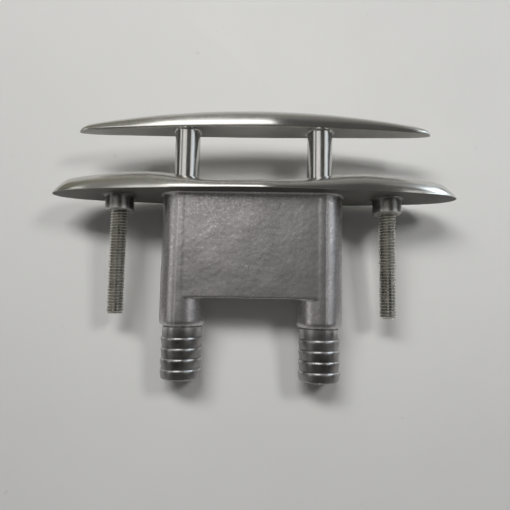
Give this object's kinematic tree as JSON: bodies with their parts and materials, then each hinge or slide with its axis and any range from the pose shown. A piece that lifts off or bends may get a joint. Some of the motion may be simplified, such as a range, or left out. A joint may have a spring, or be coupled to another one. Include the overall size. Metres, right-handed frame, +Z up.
{
  "type": "pull-up deck cleat",
  "caption": "Pull-up deck cleat: an arched polished horn on two posts that slides down into a leaf-shaped base plate, with twin guide tubes, hose barbs and threaded deck studs below.",
  "frame": {"origin": "on the deck face (the underside of the base plate), half way along the base plate and midway between the two studs", "axes": "+Z up out of the deck, +X along the horn, +Y across it; the fitting is symmetric left to right and front to back"},
  "size_m": [0.2298, 0.047, 0.1519],
  "materials": {
    "polished_steel": "mirror-polished stainless steel with faint polishing lines",
    "post_steel": "drawn and buffed stainless bar, fine lines along its length",
    "cast_steel": "shot-blasted stainless investment casting, fine sparkling grain",
    "barb_steel": "dark as-cast stainless with worn ledges",
    "turned_steel": "turned stainless, satin",
    "stud_steel": "rolled stainless thread",
    "screw_steel": "stainless screw, satin",
    "spring_steel": "spring stainless, dull",
    "acetal": "natural acetal",
    "nitrile": "black nitrile rubber"
  },
  "bodies": {
    "base": {"base_plate": "polished_steel", "tube_housing": "cast_steel", "guide_bush_left": "acetal", "guide_bush_right": "acetal", "friction_ring_left": "nitrile", "friction_ring_right": "nitrile", "bush_clip_left": "spring_steel", "bush_clip_right": "spring_steel", "drain_barb_left": "barb_steel", "drain_barb_right": "barb_steel", "stud_boss_left": "turned_steel", "stud_boss_right": "turned_steel", "deck_stud_left": "stud_steel", "deck_stud_right": "stud_steel"},
    "horn_and_posts": {"horn": "polished_steel", "post_left": "post_steel", "post_right": "post_steel", "stop_collar_left": "turned_steel", "stop_collar_right": "turned_steel", "lock_washer_left": "spring_steel", "lock_washer_right": "spring_steel", "collar_screw_left": "screw_steel", "collar_screw_right": "screw_steel"}
  },
  "joints": [
    {"name": "horn_lift", "type": "slide", "parent": "base", "child": "horn_and_posts", "axis": [0, 0, 1], "range_m": [-0.0346, 0]}
  ]
}
